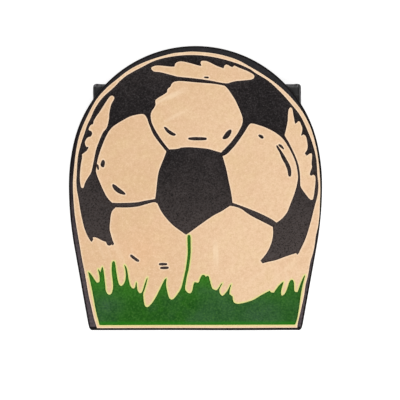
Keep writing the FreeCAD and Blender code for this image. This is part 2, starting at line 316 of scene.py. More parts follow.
class Finish:
    """A procedural material on one Principled shader, in the object's own metres.

    Its colour and its grain are built up in layers, each over the last one.
    """

    def __init__(self, name, shine=0.5, **settings):
        self.material = bpy.data.materials.new(name)
        self.material.use_nodes = True
        self.tree = self.material.node_tree
        self.shader = self.tree.nodes["Principled BSDF"]
        self.place = self.node("TexCoord").outputs["Object"]
        self.colour = self.grain = None
        for socket, value in {"Specular IOR Level": shine, **settings}.items():
            self.feed(socket.replace("_", " "), value)

    def node(self, kind, links=None, **settings):
        made = self.tree.nodes.new("ShaderNode" + kind)
        for key, value in settings.items():
            setattr(made, key, value)
        for key, value in (links or {}).items():
            self.set(made.inputs[key], value)
        return made

    def set(self, socket, value):
        if isinstance(value, bpy.types.NodeSocket):
            self.tree.links.new(value, socket)
        else:
            socket.default_value = value

    def feed(self, socket, value):
        self.set(self.shader.inputs[socket], value)

    def stretched(self, scale, turn=0.0):
        """The place turned in plan by degrees, then scaled along its own three directions."""
        links = {"Vector": self.place, "Scale": tuple(1 / n for n in scale),
                 "Rotation": (0, 0, math.radians(turn))}
        return self.node("Mapping", links, vector_type="TEXTURE").outputs["Vector"]

    def noise(self, scale, detail=3.0, roughness=0.55, place=None, distortion=0.0):
        links = {"Vector": place or self.place, "Scale": scale, "Detail": detail,
                 "Roughness": roughness, "Distortion": distortion}
        return self.node("TexNoise", links).outputs["Fac"]

    def cells(self, scale, feature="DISTANCE_TO_EDGE", place=None):
        links = {"Vector": place or self.place, "Scale": scale}
        return self.node("TexVoronoi", links, feature=feature).outputs["Distance"]

    def spread(self, value, low, high, to_low=0.0, to_high=1.0):
        links = {"Value": value, "From Min": low, "From Max": high, "To Min": to_low, "To Max": to_high}
        return self.node("MapRange", links).outputs["Result"]

    def math(self, kind, a, b=0.0):
        return self.node("Math", {0: a, 1: b}, operation=kind).outputs[0]

    def attribute(self, name):
        return self.node("Attribute", attribute_name=name).outputs["Fac"]

    def near(self, x, y, reach):
        """One at this plan point, falling to nothing at its reach, in millimetres."""
        flat = self.node("VectorMath", {0: self.place, 1: (1, 1, 0)}, operation="MULTIPLY")
        links = {0: flat.outputs["Vector"], 1: (x * MM, y * MM, 0)}
        away = self.node("VectorMath", links, operation="DISTANCE").outputs["Value"]
        made = self.node("MapRange", {"Value": away, "From Min": reach * MM, "From Max": 0.0},
                         interpolation_type="SMOOTHSTEP")
        return made.outputs["Result"]

    def axis(self, name, low, high, to_low=0.0, to_high=1.0):
        """A value that follows the object's own X or Y between two places, in millimetres."""
        along = self.node("SeparateXYZ", {0: self.place}).outputs[name]
        return self.spread(along, low * MM, high * MM, to_low, to_high)

    def over(self, share, colour):
        """Lays this share of a colour over the colour so far."""
        made = self.node("Mix", data_type="RGBA")
        for n, value in ((0, share), (6, self.colour), (7, (*colour, 1.0))):
            self.set(made.inputs[n], value)
        self.colour = made.outputs[2]

    def tint(self, value, low, high, share, colour):
        """Lays a colour over, from none of it at the value's low to this share at its high."""
        self.over(self.spread(value, low, high, 0.0, share), colour)

    def ground(self, value, low, high, dark, pale, share=1.0):
        """The first layer of colour, from dark to pale as a value goes from low to high."""
        self.colour = (*dark, 1.0)
        self.tint(value, low, high, share, pale)

    def bump(self, height, distance, strength):
        """Adds a layer of grain over the grain so far."""
        links = {"Height": height, "Distance": distance * MM, "Strength": strength}
        if self.grain is not None:
            links["Normal"] = self.grain
        self.grain = self.node("Bump", links).outputs["Normal"]

    def done(self, value, smooth, rough):
        """The finished material, with a roughness that follows a noise value."""
        self.feed("Base Color", self.colour)
        self.feed("Roughness", self.spread(value, 0.3, 0.7, smooth, rough))
        self.feed("Normal", self.grain)
        return self.material


def natural_leather():
    """Undyed tooling leather: warm, with pores, handling marks and paler brush strokes."""
    f = Finish("natural_leather", 0.16)
    patches = f.noise(38, 4, 0.6)
    blotches = f.noise(170, 3, 0.6)
    mottle = f.noise(820, 3, 0.7)
    grit = f.noise(2100, 3, 0.65)
    pores = f.cells(1500, "F1")
    # painted light: the leather is made brighter towards the right and darker at the top, over random
    # patches
    right = f.math("ADD", f.axis("X", -20, 20, 0.16, 0.5), patches)
    right = f.math("SUBTRACT", right, f.axis("Y", 12, 32, 0.0, 0.22))
    f.ground(right, 0.45, 1.05, (0.648, 0.425, 0.242), (0.75, 0.528, 0.334))
    f.tint(blotches, 0.4, 0.72, 0.45, (0.7, 0.44, 0.285))
    f.tint(blotches, 0.47, 0.3, 0.4, (0.72, 0.515, 0.29))
    warm = f.math("MULTIPLY", f.near(-16, -19, 14), f.spread(patches, 0.35, 0.6, 0.1, 0.55))
    f.over(warm, (0.71, 0.425, 0.235))
    f.tint(mottle, 0.45, 0.7, 0.34, (0.56, 0.34, 0.18))
    f.tint(mottle, 0.46, 0.3, 0.24, (0.82, 0.6, 0.4))
    f.tint(grit, 0.5, 0.72, 0.42, (0.56, 0.345, 0.185))
    f.tint(grit, 0.46, 0.28, 0.42, (0.86, 0.64, 0.43))
    for x, y, reach, turn, depth in brushed_places:
        strokes = f.noise(430, 2, 0.5, f.stretched((1, 0.09, 1), turn))
        share = f.math("MULTIPLY", f.spread(strokes, 0.52, 0.68, 0, depth), f.near(x, y, reach))
        f.over(share, (0.83, 0.64, 0.44))
    f.tint(pores, 0.2, 0.0, 0.35, (0.48, 0.265, 0.13))
    f.tint(f.cells(115, "F1"), 0.024, 0.014, 0.6, (0.19, 0.09, 0.045))
    # painted highlight: a paler cream rim on the leather beside every cut line
    f.tint(f.attribute("rim"), 0.05, 0.7, 0.7, (0.88, 0.68, 0.49))
    f.tint(f.attribute("grass"), 0.08, 0.8, 0.9, (0.6, 0.62, 0.19))
    f.bump(f.spread(pores, 0.0, 0.35), 0.04, 0.5)
    f.bump(f.noise(800, 4, 0.65), 0.09, 0.55)
    return f.done(mottle, 0.46, 0.62)


def black_dye():
    """Leather dyed black: warm, finely pebbled, with a painted sheen greying it lower down and towards
    the right.
    """
    f = Finish("black_dye", 0.11)
    patches = f.noise(75, 4, 0.6)
    speckle = f.noise(2300, 3, 0.65)
    f.ground(patches, 0.35, 0.7, (0.005, 0.003, 0.0034), (0.015, 0.011, 0.0116))
    # painted sheen: the black turns patchily greyer lower down and towards the right edge
    painted_sheen = f.math("ADD", f.axis("Y", 12, -22), f.spread(patches, 0.3, 0.7, -0.15, 0.15))
    painted_sheen = f.math("ADD", painted_sheen, f.axis("X", 26, 34, 0.0, 0.12))
    f.tint(painted_sheen, 0.0, 1.0, 1.0, (0.055, 0.0415, 0.038))
    f.tint(speckle, 0.5, 0.74, 0.6, (0.062, 0.056, 0.057))
    f.tint(speckle, 0.49, 0.34, 0.9, (0.0016, 0.0012, 0.0012))
    f.tint(f.attribute("rim"), 0.15, 0.9, 0.75, (0.026, 0.0105, 0.008))
    f.bump(f.spread(f.cells(1150), 0.0, 0.25), 0.06, 0.6)
    f.bump(f.noise(600, 4, 0.6), 0.1, 0.5)
    return f.done(f.noise(260, 3), 0.36, 0.5)


def green_dye():
    """Leather dyed green by brush: mottled, brighter along its edges and low down."""
    f = Finish("green_dye", 0.07)
    blots = f.noise(230, 5, 0.62, distortion=0.6)
    fine = f.noise(1700, 3, 0.65)
    wide = f.noise(75, 3)
    f.ground(blots, 0.34, 0.66, (0.006, 0.064, 0.003), (0.015, 0.098, 0.0042))
    sides = f.math("ADD", f.near(-28, -36, 8), f.near(20, -40, 14))
    grey = f.math("MAXIMUM", f.spread(wide, 0.48, 0.64, 0.0, 0.7), sides)
    f.over(f.math("MULTIPLY", grey, f.spread(blots, 0.4, 0.6, 0.45, 0.75)), (0.036, 0.09, 0.044))
    tips = f.math("MULTIPLY", f.axis("Y", -37, -29), f.spread(wide, 0.62, 0.44, 0.35, 0.9))
    f.over(tips, (0.03, 0.165, 0.008))
    f.tint(fine, 0.5, 0.68, 0.55, (0.056, 0.165, 0.03))
    f.tint(fine, 0.48, 0.32, 0.6, (0.004, 0.043, 0.0015))
    f.over(f.axis("Y", -41.6, -43.0, 0.0, 0.85), (0.012, 0.19, 0.001))
    f.tint(f.attribute("rim"), 0.15, 0.9, 0.75, (0.007, 0.043, 0.002))
    f.bump(f.cells(1100, "F1"), 0.05, 0.5)
    f.bump(blots, 0.12, 0.5)
    return f.done(fine, 0.44, 0.62)


def band_dye():
    """The dyed band inside the front's edge: black, with a painted purplish-grey sheen low down."""
    f = Finish("band_dye")
    worn = f.noise(210, 4, 0.65)
    fine = f.noise(1300, 3, 0.6)
    # painted sheen: a patchy purplish grey lower down, with paler grey flecks on the grain
    low = f.math("ADD", f.axis("Y", 6, -22), f.spread(worn, 0.3, 0.7, -0.2, 0.2))
    f.ground(f.axis("Y", 16, 30), 0.0, 1.0, (0.0075, 0.0045, 0.0062), (0.015, 0.0145, 0.0165))
    f.over(low, (0.064, 0.049, 0.054))
    f.over(f.math("MULTIPLY", low, f.spread(fine, 0.5, 0.72, 0, 0.6)), (0.115, 0.092, 0.098))
    f.tint(fine, 0.48, 0.3, 0.5, (0.006, 0.0045, 0.0055))
    f.tint(f.attribute("rim"), 0.2, 0.85, 0.8, (0.012, 0.0075, 0.0085))
    outer = f.math("MAXIMUM", f.spread(f.attribute("edge"), 0.25, 0.58), f.axis("Y", -43.5, -43.9))
    f.over(outer, (0.0035, 0.0024, 0.0028))
    f.feed("Specular IOR Level", f.spread(outer, 0.0, 1.0, 0.12, 0.03))
    f.bump(f.spread(f.cells(1150), 0.0, 0.25), 0.05, 0.6)
    f.bump(worn, 0.08, 0.5)
    return f.done(worn, 0.36, 0.52)


def edge_paint():
    """Black edge paint over the cut edge, worn to grey where it rubs."""
    f = Finish("edge_paint", 0.06)
    worn = f.noise(160, 4, 0.6)
    f.ground(worn, 0.5, 0.8, (0.0042, 0.0034, 0.0038), (0.022, 0.019, 0.021), 0.5)
    f.bump(f.noise(500, 3, 0.6, f.stretched((1, 1, 7))), 0.05, 0.5)
    f.bump(f.noise(1300, 3), 0.03, 0.5)
    return f.done(worn, 0.34, 0.5)


def black_cowhide():
    """The back of the cover: black leather with its natural grain."""
    f = Finish("black_cowhide", 0.34)
    wide = f.noise(70, 4, 0.6)
    creased = f.stretched((1.0, 1.35, 1.0), 25)
    pebbles = f.cells(780, place=creased)
    f.ground(wide, 0.35, 0.7, (0.0095, 0.0085, 0.0085), (0.021, 0.019, 0.0185))
    f.tint(pebbles, 0.1, 0.0, 0.45, (0.004, 0.0035, 0.0035))
    f.bump(f.spread(pebbles, 0.0, 0.22), 0.09, 0.6)
    f.bump(f.spread(f.cells(1900, place=creased), 0.0, 0.2), 0.03, 0.5)
    return f.done(wide, 0.36, 0.5)


def bag_leather():
    """The bag: black leather of little thickness, with a soft gloss, drawn wrinkles, a painted highlight
    along its right edge and its mouth, and a painted line of shade just inside that right edge.
    """
    f = Finish("bag_leather", 0.24, Coat_Weight=0.06, Coat_Roughness=0.35)
    wide = f.noise(120, 4, 0.6)
    drawn = f.noise(150, 4, 0.6, f.stretched((5, 0.7, 1)))
    streaks = f.noise(420, 3, 0.6, f.stretched((3, 0.4, 1)))
    f.ground(wide, 0.35, 0.7, (0.005, 0.0046, 0.0052), (0.014, 0.013, 0.014))
    f.tint(drawn, 0.55, 0.8, 0.5, (0.04, 0.038, 0.04))
    # painted shade: a dark line just inside the right edge, beside the highlight
    f.over(f.axis("X", bag_right - 1.3, bag_right - 1.05), (0.0025, 0.0022, 0.0025))
    # painted highlight: a streaky paler grey along the right edge and along the mouth's hem
    side = f.axis("X", bag_right - 0.75, bag_right - 0.5)
    mouth = f.axis("Y", hem_y - 0.95, hem_y - 0.7)
    painted_edge_highlight = f.math("MULTIPLY", f.math("MAXIMUM", side, mouth), f.spread(streaks, 0.38, 0.6, 0.15, 0.85))
    f.over(painted_edge_highlight, (0.15, 0.146, 0.15))
    f.bump(f.cells(1600), 0.025, 0.5)
    f.bump(drawn, 0.16, 0.6)
    return f.done(wide, 0.3, 0.46)


def suede():
    """The lining: brown suede with a short, brushed nap."""
    f = Finish("suede", 0.15, Sheen_Weight=0.35, Sheen_Roughness=0.6)
    nap = f.noise(2600, 3, 0.7)
    brushed = f.noise(110, 3, 0.6, f.stretched((1, 3, 1), 20))
    f.ground(brushed, 0.35, 0.7, (0.15, 0.082, 0.045), (0.235, 0.135, 0.078))
    f.tint(nap, 0.35, 0.7, 0.5, (0.095, 0.05, 0.027))
    f.bump(nap, 0.06, 0.7)
    return f.done(nap, 0.9, 0.9)


def waxed_thread():
    """Twisted, waxed black thread."""
    f = Finish("waxed_thread", 0.4)
    twist = f.noise(1400, 2, 0.5, f.stretched((3, 1, 1), 40))
    f.ground(twist, 0.4, 0.65, (0.012, 0.011, 0.01), (0.045, 0.041, 0.038))
    f.bump(twist, 0.08, 0.8)
    return f.done(twist, 0.4, 0.6)


def nickel():
    """Nickel-plated snap parts, a little scratched and dulled by coins."""
    f = Finish("nickel", Metallic=1.0)
    dull = f.noise(350, 4, 0.6)
    f.ground(dull, 0.35, 0.7, (0.6, 0.585, 0.555), (0.72, 0.7, 0.67))
    f.bump(f.noise(900, 2, 0.5, f.stretched((1, 14, 1), 35)), 0.006, 0.5)
    return f.done(dull, 0.34, 0.5)


# ---- The picture on the front, in plan. A point with a C is a corner; the rest are smooth ----
C = True
border = [
    (-0.7, 43.3), (6.5, 42.6), (12.9, 40.8), (17.4, 38.4), (21.9, 35.7), (26.3, 32.5), (30.2, 28.8),
    (33.6, 24.6), (36, 20.2), (37.2, 16.9), (38, 13.9), (38.55, 11.1), (39.25, 5.5), (39.5, 0),
    (39.4, -4), (39.25, -8), (38.8, -12), (38.1, -15), (37.7, -18), (37.2, -20.4), (36.4, -23),
    (35.6, -27.6), (34.9, -30.3), (34.4, -33.7), (33.7, -37), (33, -40), (32.4, -42.6),
    (32.2, -44.15, C), (0, -44.2), (-31.2, -44.25, C), (-31.4, -43.4), (-32.1, -41.2), (-32.9, -37.8),
    (-33.8, -33.9), (-34.6, -29.2), (-35.4, -25), (-36, -22), (-37.1, -15.4), (-37.8, -11.3),
    (-38.4, -6.6), (-38.8, 1.1), (-38.4, 6.9), (-37.7, 12.5), (-36.4, 17.8), (-34.05, 23.2),
    (-31.3, 28.2), (-27.9, 32), (-24.3, 35), (-21.6, 37.1), (-17.9, 39.2), (-13, 41.1),
    (-7.3, 42.7), (-4, 43.1),
]
ball = [
    (-32.8, -16.8, C), (-33.4, -16), (-34.3, -14.3), (-35, -12.4), (-35.7, -9.6), (-36.3, -6.6),
    (-36.8, -3.4), (-37.3, -0.6), (-37.5, 1.9), (-37.4, 4.4), (-37, 10), (-36.1, 13.9), (-34.9, 17.5),
    (-34.1, 19.9), (-32.9, 22.4), (-31.8, 24.9), (-30.2, 27.4), (-28.8, 29.05), (-25.4, 32.1),
    (-23.8, 33.8), (-21.6, 35.6), (-17.1, 38.1), (-12.3, 40.4), (-6.2, 41.7), (0, 42), (6, 41.3),
    (12.1, 39.7), (16.9, 37.7), (18.8, 36.4), (23, 33.8), (26.9, 30.2), (30.2, 26.5), (33, 22.9),
    (35.2, 18.4), (36.9, 13.9), (38, 9.4), (38.4, 3.9), (38.7, 1), (38.4, -2.2), (37.4, -6),
    (36.3, -10.4), (34.8, -15.4), (33.7, -17.9), (32.6, -20.2, C), (32.2, -20.8, C), (31.75, -20.3, C),
    (28, -21.55), (25.5, -22.5), (22.4, -23.2), (21.2, -23.55, C), (20.6, -22.8, C), (21.6, -21.7),
    (22.7, -20.2), (23.7, -18.2), (24.3, -16.3), (24.6, -14.2), (24.5, -12.1, C), (21.05, -10.3),
    (18.55, -9.05), (16.3, -7.7), (14.7, -6.5), (13, -5.8), (10.9, -5.35, C), (8.2, -7.1), (5.4, -8.6),
    (0.4, -12.1), (-1.5, -13.5), (-3, -14.5, C), (-5.4, -12.8), (-7.3, -11.3), (-9, -9.5),
    (-10.25, -7.9), (-11.2, -6.3), (-11.9, -4.7, C), (-13, -4.25), (-16, -5), (-18.2, -5.6),
    (-21, -5.9), (-25.3, -5.9, C), (-26.55, -7.4), (-27.1, -11), (-27.2, -12.9), (-26.8, -14.6),
    (-26.3, -16.3), (-25.8, -17.5, C), (-26.1, -17.9, C), (-26.55, -17.6, C), (-27.1, -18),
    (-27.8, -17.7, C), (-28.2, -16.8, C), (-29.3, -16.4), (-30.7, -15.7), (-31.8, -15.3),
    (-32.5, -15.4, C), (-32.4, -16.1, C),
]
panels = [
    [(-14.1, 38), (-13.4, 38.6), (-11.8, 38.9), (-7.9, 38.55), (-6.7, 38.55, C), (-6.5, 39.4),
     (-5.9, 39.9), (-4.5, 40.2), (-1.5, 39.6), (0.4, 39.05), (1.8, 38.7, C), (1.5, 39.5), (1.7, 40.2),
     (2.4, 40.4), (3.8, 40.2), (6.5, 38.9), (8.8, 38, C), (9.05, 38.8), (9.75, 39.2), (11.6, 38.35, C),
     (12.25, 38.9, C), (14, 38.1), (16.3, 37.2), (18.4, 36), (18.7, 35.3), (18.3, 34.55), (17.2, 34.2),
     (13, 33.8), (11.55, 33.5), (10.4, 33.1, C), (9.05, 33.1), (4.3, 34), (-0.9, 34.7), (-5.7, 35.2),
     (-7.6, 35.7), (-11.2, 36.6), (-13, 36.8), (-13.8, 37.3)],
    [(-26.3, 29.4), (-25.5, 28.6), (-26.5, 26.5), (-27.1, 23.8), (-27.25, 21.8), (-27.9, 19.2),
     (-29.1, 17.6), (-30.7, 13.9), (-31.4, 11.7), (-32.25, 7.5), (-32.9, 4.9), (-34.05, 3.05),
     (-34.9, 1.4), (-35.2, 0.3), (-35.7, 0), (-36.2, 0.3), (-36.6, 3.3), (-36.3, 7.5), (-35.9, 9.7),
     (-35.9, 10.8, C), (-35, 11.5), (-34.3, 12.1), (-33.8, 13.1, C), (-34.5, 13.05), (-35, 14.4),
     (-34.7, 15.4), (-34, 16.2), (-33.1, 16.5), (-32.7, 17.2, C), (-32.9, 17.9), (-33.7, 18.3, C),
     (-33.8, 18.9), (-33.2, 20), (-32.4, 20.4, C), (-32.1, 21.6), (-29.9, 24.9), (-28.5, 27.1),
     (-27.1, 29.05)],
    [(30.1, 25.7), (30.6, 25.2), (30.9, 23.8), (31.2, 22.1), (31.5, 20.5, C), (32, 20.9), (32.4, 21.3),
     (33, 21.1), (33.4, 20.2), (33.8, 19.2), (33.75, 18), (33.4, 16.7, C), (34.1, 17.1), (34.9, 16.5),
     (35.3, 15), (35.5, 13.3), (35.2, 11.9), (34.6, 11.1, C), (35.1, 10.4, C), (35.9, 11), (36.6, 11.2),
     (36.9, 10.4), (36.75, 7.8), (36.9, 6.7), (36.5, 5.6), (36.2, 4.4), (36.5, 4.1, C), (37.2, 4.4),
     (37.8, 4), (38, 2.8), (37.7, -0.5), (37.2, -3.4), (36.75, -3.7), (36.05, -3.5), (34.4, -1.5),
     (33.55, -0.3), (33, 0.8, C), (32.9, 3.9), (32.7, 5.8), (32.2, 8.05), (31.2, 10.6), (29.4, 14.4),
     (28.55, 15.8), (28, 16.8, C), (28.4, 18.3), (29, 21.3), (29.1, 23.2), (29.3, 24.9), (29.7, 25.5)],
    [(-6.7, 33.8, C), (-4.8, 34), (0.4, 33.55), (6, 33.1), (9.3, 32.5, C), (10.4, 31.3), (11.8, 29.3),
     (12.9, 27.4), (14.7, 23.2), (15, 21.8), (14.8, 20.2), (13.4, 17.4), (12.4, 16), (11, 14.2),
     (8.1, 11.2, C), (6, 11.8), (3.8, 12.4), (-1.5, 12.9), (-4.3, 12.8), (-5.7, 12.4), (-8.4, 12.2, C),
     (-9.8, 13.9), (-11.9, 16.9), (-13.7, 20.2), (-14.2, 22.2), (-14.2, 23.5), (-13.8, 24.6),
     (-13.2, 25.4, C), (-12.7, 26.5), (-12.8, 27.5), (-12.5, 28.2), (-10.1, 29.7), (-9.1, 30.4, C),
     (-8.9, 31.4), (-8, 32.2, C), (-7.5, 33.2)],
    [(-17.1, 23.6), (-16, 23.3), (-15.2, 22.1), (-14.6, 20.4), (-13.2, 17.1), (-11.5, 14.7),
     (-9.1, 11.7, C), (-9.8, 9.7), (-10.7, 7.5), (-11.5, 5.3), (-11.9, 3), (-12.4, -1.7),
     (-12.65, -3.4, C), (-16, -4), (-18.8, -4.5), (-24.3, -4.7), (-26.4, -4.6, C), (-27.4, -3.6),
     (-28.4, -2.2), (-30.3, 1.9), (-31.5, 5.2), (-31.4, 6.6), (-30.9, 9.4), (-29.75, 13.05),
     (-28.1, 16.9), (-27.1, 18.5), (-25.7, 19.9), (-22.1, 22.1), (-20.4, 22.9)],
    [(17.6, 20.6), (20.5, 19.9), (22.4, 19.2), (25.4, 17.6), (27.4, 16), (28.5, 14.6), (30.2, 11.7),
     (31.75, 8.05), (32.4, 4.4), (32.4, 2.8), (31.6, -0.8), (29.9, -5.4), (29.1, -7.4), (28.1, -8.8),
     (26.9, -10), (25.6, -10.9, C), (23.6, -9.6), (19.7, -7.7), (15.2, -5.9), (11.6, -4.6, C),
     (11.1, -1.1), (10.4, 2.2), (9.6, 6.1), (8.45, 10.2, C), (9.9, 11), (11.3, 12.4), (12.7, 14),
     (14.9, 17.1), (15.8, 18.5), (16.75, 20)],
]
grass = [
    (-30.2, -43.05, C), (-31.3, -38.7), (-32.4, -32.8), (-33.5, -27.6), (-33.8, -26.4, C),
    (-32.9, -27.4), (-32, -28.8), (-31.2, -29.8), (-30.6, -29.8), (-30.2, -29.4), (-30.25, -27.4),
    (-30.7, -25.5, C), (-30, -26.7, C), (-29.4, -24.8, C), (-29.1, -26.2), (-28.6, -30.6),
    (-28.4, -32.3), (-27.9, -33.3), (-27.2, -33.7), (-26.5, -33.3), (-26.1, -32.3), (-25.9, -30.6),
    (-26.3, -26.7), (-26.3, -24.5), (-25.9, -23.05), (-25.4, -24.2), (-25.1, -26.4), (-24.3, -30.2),
    (-23.55, -30.9), (-22.8, -30.5), (-22.1, -29.2), (-21.9, -27.6), (-22, -25.9), (-22.4, -24.2, C),
    (-21.8, -25.3), (-21.1, -29.2), (-20.6, -30.9), (-19.75, -31.7), (-19.05, -31.4), (-18.7, -29.6, C),
    (-18.55, -31.2), (-18.3, -32.4), (-17.5, -33.2), (-16.8, -32.8), (-15.9, -30.1), (-15.2, -28.25, C),
    (-15.6, -30), (-16.3, -32.3), (-16.6, -33.1), (-16.55, -34.5), (-16.3, -36.4), (-15.9, -37.3),
    (-15.2, -37.6), (-14.3, -37), (-12.9, -35.2), (-11.2, -32), (-9.8, -29.1), (-9.2, -28.4, C),
    (-9.4, -30), (-9.2, -31.7), (-8.4, -34.6), (-7.6, -35.2), (-6.7, -34.8), (-5.1, -32.7),
    (-4.4, -31.4), (-4, -30), (-3.3, -27), (-2.9, -25), (-2.35, -20.5), (-2.4, -17.5), (-2.4, -15),
    (-2.1, -14.75), (-1.75, -15), (-1.65, -17.5), (-1.65, -20.5), (-2.2, -25), (-2.9, -28.1),
    (-3.2, -30), (-3.4, -31.2), (-3.2, -32.3), (-1.9, -33.25), (-1.1, -32.7), (-0.5, -30.3),
    (-0.25, -29.7, C), (1, -29.8), (1.55, -28.5), (2.1, -27.55), (2.7, -27.4), (3.2, -28),
    (3.9, -27.7), (4.3, -28.7), (5.2, -31.6), (6, -32.1), (6.8, -32.2), (8.4, -29.9, C), (7.5, -31.7),
    (7.4, -32.5), (7.8, -33.5), (8.5, -34), (9.3, -33.4), (10.2, -32.3), (11.2, -30.3, C), (10.7, -32),
    (10.6, -33.4, C), (11.6, -34.2, C), (11.8, -35.6), (12.4, -36.3), (14, -36.5), (18, -35.4),
    (20.8, -33.8), (23.4, -32.4, C), (23.8, -32.9), (24.8, -33, C), (26.3, -30.9), (27.7, -29.5, C),
    (27.2, -31.2), (26.9, -32.5), (27, -33.7), (27.4, -33.95), (28.1, -33.5), (28.8, -32.3),
    (29.8, -29.5), (30.4, -28.9), (30.9, -29.5), (31.1, -32.3), (31.5, -32.8), (32.3, -32.8, C),
    (33.55, -29.4), (34.5, -27.4, C), (33.7, -30.6), (33.2, -33.1), (32.6, -37.6), (31.9, -41.4),
    (31.4, -42.9, C),
]
marks = [
    [(-9.8, 19.4), (-9.4, 18.4), (-8.7, 17.6), (-7.4, 16.8), (-6.3, 16.9), (-7, 17.5), (-8.1, 18.2)],
    [(11.2, 18.5), (11.2, 17.6), (10.6, 16.5), (9.7, 15.75), (8.6, 15.8), (9, 16.6), (9.7, 17.6),
     (10.5, 18.3)],
    [(-2.3, 15.7), (-1.2, 16.05), (0.6, 16.1), (3.4, 15.9), (3.4, 15.45), (0.6, 15.25), (-1.5, 15.4)],
    [(-29, 8.9), (-29.9, 7.6), (-29.5, 6.8), (-28.9, 6.9)],
    [(-31.1, 7.6), (-30.9, 6.1), (-30.6, 5.9), (-30.7, 7.2)],
    [(-26.1, 1.3), (-24.3, 0.15), (-22.3, -1.5), (-22.25, -1.9), (-24.05, -1.5), (-25.4, -0.55),
     (-26.1, 0.55)],
    [(19.9, 16.8), (20.5, 16.9), (21.3, 16.4), (21.3, 15.8), (20.4, 16.1)],
    [(25.6, 13.5), (26.6, 12.4), (27.7, 10.8), (28.8, 8.9), (29.7, 7.2), (30.1, 5.6), (30, 3.9),
     (29.5, 3.9), (29.1, 5.8), (28.3, 7.8), (27.4, 9.4), (26.6, 11.4)],
    [(26.2, 13.8), (27, 13.7), (27.9, 12.4), (27.3, 12.7)],
    [(-20.4, -20.9), (-18.8, -22), (-17.8, -22.8), (-18.2, -23.1), (-19.6, -22.25), (-20.5, -21.4)],
    [(-11.4, -23.7), (-9.1, -23.7), (-9.1, -24.1), (-11.4, -24.15)],
    [(-11, -24.9), (-8.6, -24.8), (-8.6, -25.25), (-11, -25.3)],
    [(2.7, 35.1), (3.3, 35.2), (4.2, 35), (3.4, 34.85)],
]

cut_step = 0.3                 # between points along the picture's lines
edge_keep = 0.36               # the picture stays this far inside the lobe's outline
rim_row = 0.16                 # the row of points beside each cut line
grid_spacing = 0.62            # between points away from the lines
inner_spacing = 3.0            # between points on a sheet's inner face
dye_creep = 0.12               # how far the dye runs past its cut lines
dye_depth = 0.17               # how far the dyed grounds are beaten down
band_depth = 0.10              # how far the band round the picture is
cut_depth = 0.04               # how much deeper the cut itself is
cut_slope = 0.26               # the width of the slope beside a cut
pillow = 0.07                  # how much the undyed leather swells between cuts
pillow_reach = 0.8             # most of the swelling is reached this far from a cut
edge_reach = 0.9               # the edge's own shading fades this far inside the outline
crease_inset = 2.2             # the line creased into the back, inside its edge
crease_width = 0.26
crease_depth = 0.15
lining_margin = half_width - lining_high.x
BAND, NATURAL, BLACK, GREEN, COWHIDE = range(5)  # places in the cover's list of materials

# Rounded rims: (inset, depth) from the outer face inwards.
cover_profile = [(0.30, 0.0), (0.16, 0.05), (0.05, 0.18), (0.0, 0.42), (0.0, 0.95), (0.06, 1.22),
                 (0.20, 1.36), (0.42, 1.40)]
lining_profile = [(lining_margin + inset, cover_thickness + depth)
                  for inset, depth in ((0.10, 0), (0, 0.12), (0, lining_thickness - 0.12),
                                       (0.10, lining_thickness))]


def traced(points):
    """A closed loop through the points: smooth, but for the corners, evenly stepped."""
    flags = [len(p) == 3 for p in points]
    place = np.array([p[:2] for p in points], float)
    count = len(place)
    out = []
    for n in range(count):
        b, c = place[n], place[(n + 1) % count]
        a = 2 * b - c if flags[n] else place[n - 1]
        d = 2 * c - b if flags[(n + 1) % count] else place[(n + 2) % count]
        chord = np.linalg.norm(c - b)
        into = (c - a) / max(np.linalg.norm(c - a), 1e-6) * chord
        away = (d - b) / max(np.linalg.norm(d - b), 1e-6) * chord
        steps = max(2, int(chord / cut_step))
        for t in np.arange(steps) / steps:
            out.append((2 * t**3 - 3 * t**2 + 1) * b + (t**3 - 2 * t**2 + t) * into
                       + (3 * t**2 - 2 * t**3) * c + (t**3 - t**2) * away)
    return np.array(out)


def sideways(loop):
    """The way across a loop at each of its points, one long."""
    along = np.roll(loop, -1, 0) - np.roll(loop, 1, 0)
    along /= np.maximum(np.linalg.norm(along, axis=1), 1e-9)[:, None]
    return np.stack([along[:, 1], -along[:, 0]], -1)


def kept_in(loop):
    """The loop on the sheet, drawn in where it would run over the lobe's rounded edge."""
    kept = []
    for x, y in loop:
        gap, way = edge_distance(x, y)
        if gap < edge_keep:
            x, y = x + way[0] * (edge_keep - gap), y + way[1] * (edge_keep - gap)
        kept.append((x, y))
    kept = np.array(kept)
    return np.stack([kept[:, 0], run_of(kept[:, 1])], -1)


def widened(points, size):
    """The smooth loop through the points, moved outwards by this much, or inwards if negative."""
    loop = traced(points)
    x, y = loop.T
    turn = np.sign(np.sum(x * np.roll(y, -1) - np.roll(x, -1) * y))
    return kept_in(loop + sideways(loop) * size * turn)


